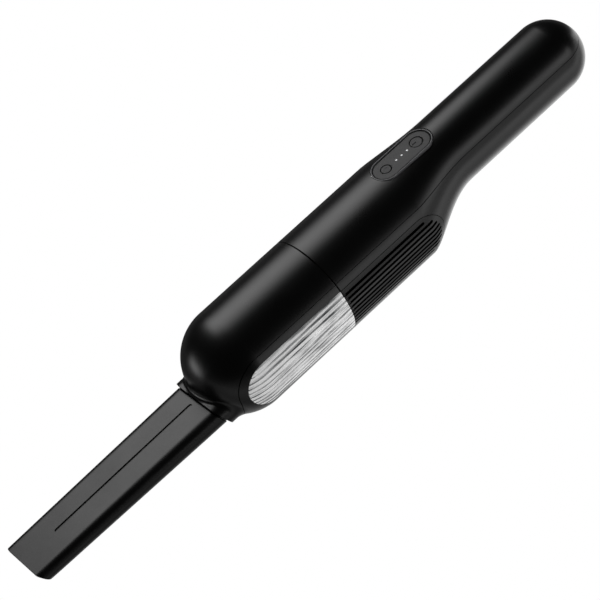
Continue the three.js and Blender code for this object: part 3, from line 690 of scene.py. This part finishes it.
class VACUUM_OT_grilles(bpy.types.Operator):
    """Side grilles with long slots"""

    bl_idname = "vacuum.grilles"
    bl_label = "Grilles"

    def execute(self, context):
        plate = combine(housing_solid(), [window_tool(GAP)], "INTERSECT")
        for side, name in ((1, "left"), (-1, "right")):
            near, far = half_space(side)
            half = block((-90, near, -40), (20, far, 40))
            grille = combine(copy_of(plate, name), [half], "INTERSECT")
            low, high = slot_reach(side)
            floor = turned("floor", [(-80, SLOT_FLOOR_R), (20, SLOT_FLOOR_R)], AROUND, "ends")
            for tool in slot_tools(SLOT_ENDS[0], low, high):
                keep = copy_of(floor, "keep")
                combine(grille, [combine(tool, [keep])])
            bpy.data.objects.remove(floor)
            combine(grille, slot_tools(SLOT_ENDS[1], low, high))
            done(grille, "vent_grille_" + name, finishes()["grille_abs"])
        bpy.data.objects.remove(plate)
        return {"FINISHED"}


class VACUUM_OT_cup(bpy.types.Operator):
    """Dust cup: upper shell with the socket, lower shell, and ribbed clear windows"""

    bl_idname = "vacuum.cup"
    bl_label = "Dust cup"

    def execute(self, context):
        whole = cup_solid(context.scene.vacuum.socket_fillet / MM)
        upper = combine(copy_of(whole, "upper"), [lower_shell_tool(0)])
        done(upper, "cup_shell", finishes()["satin_abs"])
        collar = prism("collar", socket_outline(GAP), "x", COLLAR_BACK - GAP, SOCKET_X + 8)
        below = combine(whole, [lower_shell_tool(GAP)], "INTERSECT")
        combine(below, [collar])
        belly = block((-PAST, -PAST, -PAST), (2 * PAST, PAST, BELLY_Z))
        lower = combine(copy_of(below, "lower"), [window_tool(0), belly])
        done(lower, "cup_lower_shell", finishes()["satin_abs"])
        plate = combine(below, [window_tool(GAP)], "INTERSECT")
        floor = cup_floor(RIB_DEPTH)
        for side, name in ((1, "left"), (-1, "right")):
            near, far = half_space(side)
            half = block((-5, near, -40), (90, far, 40))
            window = combine(copy_of(plate, name), [half], "INTERSECT")
            low, high = slot_reach(side)
            for i in range(SLOTS):
                up = (i - (SLOTS - 1) / 2) * SLOT_PITCH
                reach = WINDOW_REACH - WINDOW_HALF + math.sqrt((WINDOW_HALF - 1.5) ** 2 - up**2)
                outline = pill((reach + 6) / 2, RIB_HALF, 6, ((reach - 6) / 2, WINDOW_Z + up))
                line = prism("line", outline, "y", low, high)
                combine(window, [combine(line, [copy_of(floor, "keep")])])
            done(window, "cup_window_" + name, finishes()["clear"])
        bpy.data.objects.remove(plate)
        bpy.data.objects.remove(floor)
        return {"FINISHED"}


def nozzle_ring(x, inset, lean=0.0):
    """The nozzle's outline at a place along it, drawn in by an inset and leaning back towards its top."""
    run = (x - NOZZLE_BACK) / (TIP_X - NOZZLE_BACK)
    flat = NOZZLE_FLAT[0] + (NOZZLE_FLAT[1] - NOZZLE_FLAT[0]) * run
    radius = NOZZLE_R[0] + (NOZZLE_R[1] - NOZZLE_R[0]) * run - inset
    slope = math.tan(math.radians(lean))
    return [(x - slope * (radius - z), y, NOZZLE_Z + z) for y, z in pill(flat + radius, radius, 24)]


class VACUUM_OT_nozzle(bpy.types.Operator):
    """Flat crevice nozzle with its long groove and slanted mouth"""

    bl_idname = "vacuum.nozzle"
    bl_label = "Crevice nozzle"

    def execute(self, context):
        step = SOCKET_X - 1.5  # a shallow step round the nozzle, along the socket's leaning face
        rings = [nozzle_ring(x, 0) for x in (NOZZLE_BACK, 78)]
        for x, deep in ((0, 0), (0.1, NOZZLE_STEP), (1.6, NOZZLE_STEP), (1.8, 0)):
            rings.append(nozzle_ring(step + x, deep, SOCKET_ANGLE))
        rings += [nozzle_ring(x, 0) for x in (100, 120, 140, 160, 180, 205)]
        rings.append(nozzle_ring(TIP_X, 0, MOUTH_ANGLE))
        body = loft("nozzle", rings, shut="none")
        apply(body, "SOLIDIFY", thickness=NOZZLE_WALL * MM, offset=-1, use_even_offset=True)
        apply(body, "BEVEL", width=NOZZLE_EDGE_R * MM, segments=3, limit_method="ANGLE",
              angle_limit=math.radians(50))
        back, front = GROOVE
        slope = (NOZZLE_R[0] - NOZZLE_R[1]) / (TIP_X - NOZZLE_BACK)
        top = NOZZLE_Z + NOZZLE_R[0]
        depth = context.scene.vacuum.groove_depth / MM
        rings = []
        for lift, inset in ((-depth, 0.2), (-depth * 0.7, 0.06), (-0.1, 0), (0.06, -0.12), (3, -0.5)):
            middle = ((back + front) / 2, 0)
            outline = pill((front - back) / 2 - inset, GROOVE_HALF_WIDTH - inset, 12, middle)
            rings.append([(x, y, top - slope * (x - NOZZLE_BACK) + lift) for x, y in outline])
        combine(body, [loft("groove", rings)])
        done(body, "crevice_nozzle", finishes()["nozzle_pp"])
        return {"FINISHED"}


class VACUUM_OT_panel(bpy.types.Operator):
    """Key panel: rim, soft pad, two keys and the battery lights"""

    bl_idname = "vacuum.panel"
    bl_label = "Key panel"

    def execute(self, context):
        def pill_ring(inset, z, arc=32):
            outline = pill(PANEL_HALF - inset, PANEL_HALF_WIDTH - inset, arc, (PANEL_X, 0))
            return [(x, y, PANEL_TOP + z) for x, y in outline]

        section = ((0, -5), (0, -0.3), (0.06, -0.12), (0.2, -0.02), (0.4, 0), (0.6, -0.02), (0.78, -0.12),
                   (RIM_WIDTH, -0.3), (RIM_WIDTH, -5))
        rim = loft("rim", [pill_ring(*step) for step in section], shut="loop")
        done(rim, "panel_bezel", finishes()["rim"])

        edge = RIM_WIDTH + GAP
        section = ((edge, -2.05), (edge, -0.85), (edge + 0.1, -0.62), (edge + 0.3, -0.49),
                   (edge + 0.7, -0.45), (edge + 2.5, -0.45))
        pad = loft("pad", [pill_ring(*step) for step in section])
        for x, r in (POWER_KEY, MODE_KEY):
            rings = [[(a, b, PAD_TOP + z) for a, b in disc(r + grow, 64, (x, 0))]
                     for z, grow in ((-4, GAP), (-0.3, GAP), (0.0, GAP + 0.2), (0.5, GAP + 0.5))]
            combine(pad, [loft("key_hole", rings)])
        for x in LIGHTS:
            hole = disc(LIGHT_HOLE_R, 24, (x, 0))
            combine(pad, [prism("light_hole", hole, "z", PAD_TOP - 4, PAD_TOP + 1)])
        done(pad, "control_pad", finishes()["pad"])

        for node, (x, r) in (("power_button", POWER_KEY), ("mode_button", MODE_KEY)):
            # Plunger, flange that holds the key in, stem, rounded edge, and a face dished towards its middle.
            section = ((1.5, -4.15), (1.5, -2.96), (r + 1, -2.95), (r + 1, -1.96), (r, -1.95), (r, -0.25),
                       (r - 0.08, -0.08), (r - 0.3, 0.0), (r - 0.8, 0.0), (r * 0.5, -0.04), (0.4, -0.06))
            rings = [[(a, b, PAD_TOP + z) for a, b in disc(wide, 64, (x, 0))] for wide, z in section]
            key = loft(node, rings)
            if node == "power_button":
                icon = block((x, -0.35, PAD_TOP - 0.35), (x + r - 0.7, 0.35, PAD_TOP + 1))
            else:
                icon = prism("icon", disc(1.2, 32, (x, 0)), "z", PAD_TOP - 0.2, PAD_TOP + 1)
            combine(key, [icon])
            done(key, node, finishes()["pad"])

        guide = block((PANEL_X - 5, -1.2, PANEL_TOP - 3.4), (PANEL_X + 5, 1.2, PANEL_TOP - 2.4))
        for x in LIGHTS:
            rings = [[(a, b, PAD_TOP + z) for a, b in disc(wide, 24, (x, 0))]
                     for wide, z in ((0.55, -2.3), (0.55, -0.15), (0.4, -0.05), (0.15, -0.02))]
            combine(guide, [loft("light", rings)], "UNION")
        done(guide, "battery_light_guide", finishes()["light"])
        return {"FINISHED"}


class VACUUM_OT_filter(bpy.types.Operator):
    """Filter with its frame, pleats, end cap and metal prefilter, and the bulkhead and seal it sits on"""

    bl_idname = "vacuum.filter"
    bl_label = "Filter and bulkhead"

    def execute(self, context):
        # The collar with the seal's groove and its bevelled mouth, the plate, and the filter's spigot.
        collar = [(-4, 0.01), (-4, COLLAR_R - 3), (-8, COLLAR_R - 3), (-8, COLLAR_R - 0.4),
                  (-7.7, COLLAR_R - 0.1), (4, COLLAR_R - 0.1), (4, COLLAR_R - 1.3), (6.6, COLLAR_R - 1.3),
                  (6.6, COLLAR_R - 0.1), (8.5, COLLAR_R - 0.1), (9, COLLAR_R - 0.6), (9, COLLAR_R - 2.2),
                  (-1.5, COLLAR_R - 2.2)]
        spigot = [(-1.5, 22.4), (3.2, 22.4), (3.5, 22.1), (3.5, 20.9), (3.2, 20.6), (-1.5, 20.6),
                  (-1.5, 0.01)]
        plate = turned("bulkhead", collar + spigot, 160)
        holes = [prism("hole", disc(3.4, 40, (0, 0)), "x", -10, 5)]
        for i in range(6):
            turn = math.tau * i / 6
            place = (8.2 * math.cos(turn), 8.2 * math.sin(turn))
            holes.append(prism("hole", disc(3.4, 40, place), "x", -10, 5))
        combine(plate, holes)
        done(plate, "bulkhead", finishes()["inner"])
        seal = turned("seal", [(5.3 + 0.95 * math.cos(t), COLLAR_R - 0.5 + 0.48 * math.sin(t))
                               for t in np.linspace(0, math.tau, 25)[:-1]], 160)
        done(seal, "cup_seal", finishes()["silicone"], 60)
        frame_ring = turned("filter_frame", [
            (-1.2, 22.7), (-1.2, 24.3), (-0.9, 24.6), (1, 24.6), (1.3, 24.3), (2.2, 24.3), (2.5, 24.6),
            (6.2, 24.6), (6.5, 24.3), (6.5, 12), (5, 12), (5, 22.4), (4.7, 22.7)], 144)
        done(frame_ring, "filter_frame", finishes()["rubber"])
        pleats = []
        for x in (6.8, 26):
            ring = []
            for i in range(PLEATS * 8):
                turn = math.tau * i / (PLEATS * 8)
                fold = 0.5 + 0.5 * math.cos(PLEATS * turn)
                radius = PLEAT_R[0] + (PLEAT_R[1] - PLEAT_R[0]) * fold
                ring.append((x, radius * math.cos(turn), radius * math.sin(turn)))
            pleats.append(ring)
        done(loft("pleats", pleats), "filter_media", finishes()["fleece"])
        face = [(26.3, 0.01), (26.3, 19.2), (26.6, 19.5), (27.7, 19.5), (28, 19.2), (28, 0.01)]
        cap = turned("end_cap", face, 96)
        combine(cap, [block((27.5, -7, -1), (29.8, 7, 1))], "UNION")
        done(cap, "filter_end_cap", finishes()["rubber"])
        done(self.woven_cage(), "prefilter_cage", finishes()["steel"], 60)
        return {"FINISHED"}

    def woven_cage(self):
        """Metal mesh sleeve: diamonds with a strand along every edge, closed by a rim and a cap."""
        count, rows = 72, 13
        rings = []
        for row in range(rows + 1):
            x = CAGE_ENDS[0] + (CAGE_ENDS[1] - CAGE_ENDS[0]) * row / rows
            turns = [math.tau * (i + 0.5 * (row % 2)) / count for i in range(count)]
            rings.append([(x, CAGE_R * math.cos(turn), CAGE_R * math.sin(turn)) for turn in turns])
        sleeve = loft("sleeve", rings, shut="none")
        apply(sleeve, "WIREFRAME", thickness=WIRE * MM, use_even_offset=False, use_replace=True)
        rim = turned("rim", [(6.8, 20.75), (6.8, 21.45), (7.6, 21.45), (7.6, 20.75)], 96)
        cap = turned("cap", [(29.4, 20.75), (29.4, 21.45), (30.2, 21.4), (31.0, 20.6), (31.2, 19.6),
                             (31.2, 0.01), (30.4, 0.01), (30.4, 19.5), (30.0, 20.2)], 96)
        select_only(sleeve)
        rim.select_set(True)
        cap.select_set(True)
        bpy.ops.object.join()
        return bpy.context.object


class VACUUM_OT_carried(bpy.types.Operator):
    """Finishes for the pieces whose CAD shape stays as it is"""

    bl_idname = "vacuum.carried"
    bl_label = "Inner pieces"

    def execute(self, context):
        for key, nodes in CARRIED.items():
            for node in nodes:
                mesh = frame["nodes"][node].data
                mesh.materials.clear()
                mesh.materials.append(finishes()[key])
        return {"FINISHED"}


class VACUUM_OT_studio(bpy.types.Operator):
    """Camera, paper floor and softboxes"""

    bl_idname = "vacuum.studio"
    bl_label = "Studio"

    def execute(self, context):
        studio = context.scene.studio
        self.floor(studio)
        self.camera()
        self.softbox("key_light", studio.key_glow, *KEY_BOX)
        self.softbox("side_light", studio.side_glow, *SIDE_BOX)
        self.softbox("front_light", studio.front_glow, *FRONT_BOX)
        world = bpy.data.worlds.new("studio")
        context.scene.world = world
        world.use_nodes = True
        tree = world.node_tree
        tree.nodes.clear()
        path = put(tree, "ShaderNodeLightPath")
        dim = put(tree, "ShaderNodeBackground", {"Color": linear("#ffffff"), "Strength": 0.02})
        pale = put(tree, "ShaderNodeBackground", {"Color": linear("#ffffff"), "Strength": 1.0})
        both = put(tree, "ShaderNodeMixShader", {0: path.outputs["Is Camera Ray"], 1: dim.outputs[0],
                                                 2: pale.outputs[0]})
        put(tree, "ShaderNodeOutputWorld", {"Surface": both.outputs[0]})
        context.scene.view_settings.view_transform = "Standard"
        return {"FINISHED"}

    def floor(self, studio):
        """Paper that the camera sees as white; what reflections see of it is a painted glow, set apart."""
        bpy.ops.object.select_all(action="DESELECT")
        bpy.ops.mesh.primitive_circle_add(vertices=128, radius=FLOOR_R, fill_type="NGON",
                                          location=(0, 0, CAD_BOX[0][2]))
        floor = bpy.context.object
        floor.name = "paper_floor"
        material, tree = blank("white_paper")
        place = put(tree, "ShaderNodeTexCoord")
        parts = put(tree, "ShaderNodeSeparateXYZ", {"Vector": place.outputs["Object"]})
        # Painted glow as if lit from below under the vacuum, and painted shade on the right, where its edge
        # would mirror it.
        across = put(tree, "ShaderNodeMapRange", {
            "Value": parts.outputs["Y"], "From Min": -FLOOR_HALF, "From Max": FLOOR_HALF})
        painted_floor_glow = put(tree, "ShaderNodeValToRGB", {"Fac": across.outputs[0]})
        for y, grey in FLOOR_STOPS:
            stop = painted_floor_glow.color_ramp.elements.new((y + FLOOR_HALF) / (2 * FLOOR_HALF))
            stop.color = (grey, grey, grey, 1)
        painted_floor_glow.color_ramp.elements[0].color = (0.02, 0.02, 0.02, 1)
        painted_floor_glow.color_ramp.elements[-1].color = (0.3, 0.3, 0.3, 1)
        # Less painted glow ahead of the cup.
        ahead = put(tree, "ShaderNodeMapRange", {
            "Value": parts.outputs["X"], "From Min": 0.0, "From Max": 0.07,
            "To Min": studio.floor_glow, "To Max": studio.floor_glow * FLOOR_AHEAD})
        glow = put(tree, "ShaderNodeMath", {0: painted_floor_glow.outputs["Color"], 1: ahead.outputs[0]},
                   operation="MULTIPLY")
        # Paper fibres 2.5 mm apart, coarser than real ones.
        fibre = put(tree, "ShaderNodeTexNoise", {"Vector": place.outputs["Object"],
                                                 "Scale": 400.0, "Detail": 2.0})
        relief = put(tree, "ShaderNodeBump", {"Strength": 0.05, "Distance": 0.0001,
                                              "Height": fibre.outputs[0]})
        paper = put(tree, "ShaderNodeBsdfPrincipled", {
            "Base Color": linear("#5a5a5a"), "Roughness": 0.9, "Normal": relief.outputs["Normal"],
            "Emission Color": linear("#ffffff"), "Emission Strength": glow.outputs[0]})
        path = put(tree, "ShaderNodeLightPath")
        pale = put(tree, "ShaderNodeEmission", {"Color": linear("#ffffff"), "Strength": 1.0})
        both = put(tree, "ShaderNodeMixShader", {0: path.outputs["Is Camera Ray"], 1: paper.outputs[0],
                                                 2: pale.outputs[0]})
        put(tree, "ShaderNodeOutputMaterial", {"Surface": both.outputs[0]})
        floor.data.materials.append(material)

    def camera(self):
        """Looks down from the left front, turned so that the vacuum lies across the frame's diagonal."""
        bpy.ops.object.camera_add()
        camera = bpy.context.object
        camera.data.lens = CAMERA_LENS
        swing, rise, roll = (math.radians(a) for a in CAMERA_TURNS)
        level = math.cos(rise)
        back = Vector((math.sin(swing) * level, -math.cos(swing) * level, math.sin(rise)))
        turn = back.to_track_quat("Z", "Y").to_matrix().to_4x4()
        stand = Matrix.Translation(PLACE + Vector(CAMERA_AIM) + back * CAMERA_DISTANCE)
        camera.matrix_world = stand @ turn @ Matrix.Rotation(-roll, 4, "Z")
        bpy.context.scene.camera = camera

    def softbox(self, name, glow, place, size, soft):
        """A glowing panel that faces the vacuum and fades over a margin along its sides. Metres."""
        bpy.ops.object.select_all(action="DESELECT")
        facing = Vector(place).to_track_quat("Z", "Y").to_euler()
        bpy.ops.mesh.primitive_plane_add(size=1, location=place, rotation=facing)
        panel = bpy.context.object
        panel.scale = (size[0], size[1], 1)
        panel.name = name
        panel.visible_camera = False
        material, tree = blank(name)
        coordinates = put(tree, "ShaderNodeTexCoord")
        parts = put(tree, "ShaderNodeSeparateXYZ", {"Vector": coordinates.outputs["Object"]})
        fades = []
        for axis, length, margin in (("X", size[0], soft[0]), ("Y", size[1], soft[1])):
            out = put(tree, "ShaderNodeMath", {0: parts.outputs[axis]}, operation="ABSOLUTE")
            fades.append(put(tree, "ShaderNodeMapRange", {
                "Value": out.outputs[0], "From Min": 0.5 - margin / length, "From Max": 0.5, "To Min": 1.0,
                "To Max": 0.0}, interpolation_type="SMOOTHSTEP"))
        both = put(tree, "ShaderNodeMath", {0: fades[0].outputs[0], 1: fades[1].outputs[0]},
                   operation="MULTIPLY")
        strength = put(tree, "ShaderNodeMath", {0: both.outputs[0], 1: glow}, operation="MULTIPLY")
        shine = put(tree, "ShaderNodeEmission", {"Color": linear("#ffffff"),
                                                 "Strength": strength.outputs[0]})
        put(tree, "ShaderNodeOutputMaterial", {"Surface": shine.outputs[0]})
        panel.data.materials.append(material)


ORDER = [VACUUM_OT_studio, VACUUM_OT_housing, VACUUM_OT_grilles, VACUUM_OT_cup, VACUUM_OT_nozzle,
         VACUUM_OT_panel, VACUUM_OT_filter, VACUUM_OT_carried]


class VIEW3D_PT_vacuum(bpy.types.Panel):
    """Buttons for every piece of the vacuum"""

    bl_idname = "VIEW3D_PT_vacuum"
    bl_label = "Stick hand vacuum"
    bl_space_type = "VIEW_3D"
    bl_region_type = "UI"
    bl_category = "Vacuum"

    def draw(self, context):
        for settings in (context.scene.vacuum, context.scene.studio):
            for key in settings.__annotations__:
                self.layout.prop(settings, key)
        for operator in ORDER:
            self.layout.operator(operator.bl_idname)


CLASSES = [VacuumSettings, StudioSettings, *ORDER, VIEW3D_PT_vacuum]


def register():
    """Makes the operators, the settings and the panel known to Blender."""
    for kind in CLASSES:
        bpy.utils.register_class(kind)
    bpy.types.Scene.vacuum = PointerProperty(type=VacuumSettings)
    bpy.types.Scene.studio = PointerProperty(type=StudioSettings)


def unregister():
    """Undoes register, in the opposite order."""
    del bpy.types.Scene.vacuum
    del bpy.types.Scene.studio
    for kind in reversed(CLASSES):
        bpy.utils.unregister_class(kind)


def main():
    """Builds every piece and the studio."""
    register()
    for operator in ORDER:
        group, name = operator.bl_idname.split(".")
        getattr(getattr(bpy.ops, group), name)()
    bpy.context.view_layer.update()


if __name__ == "__main__":
    main()
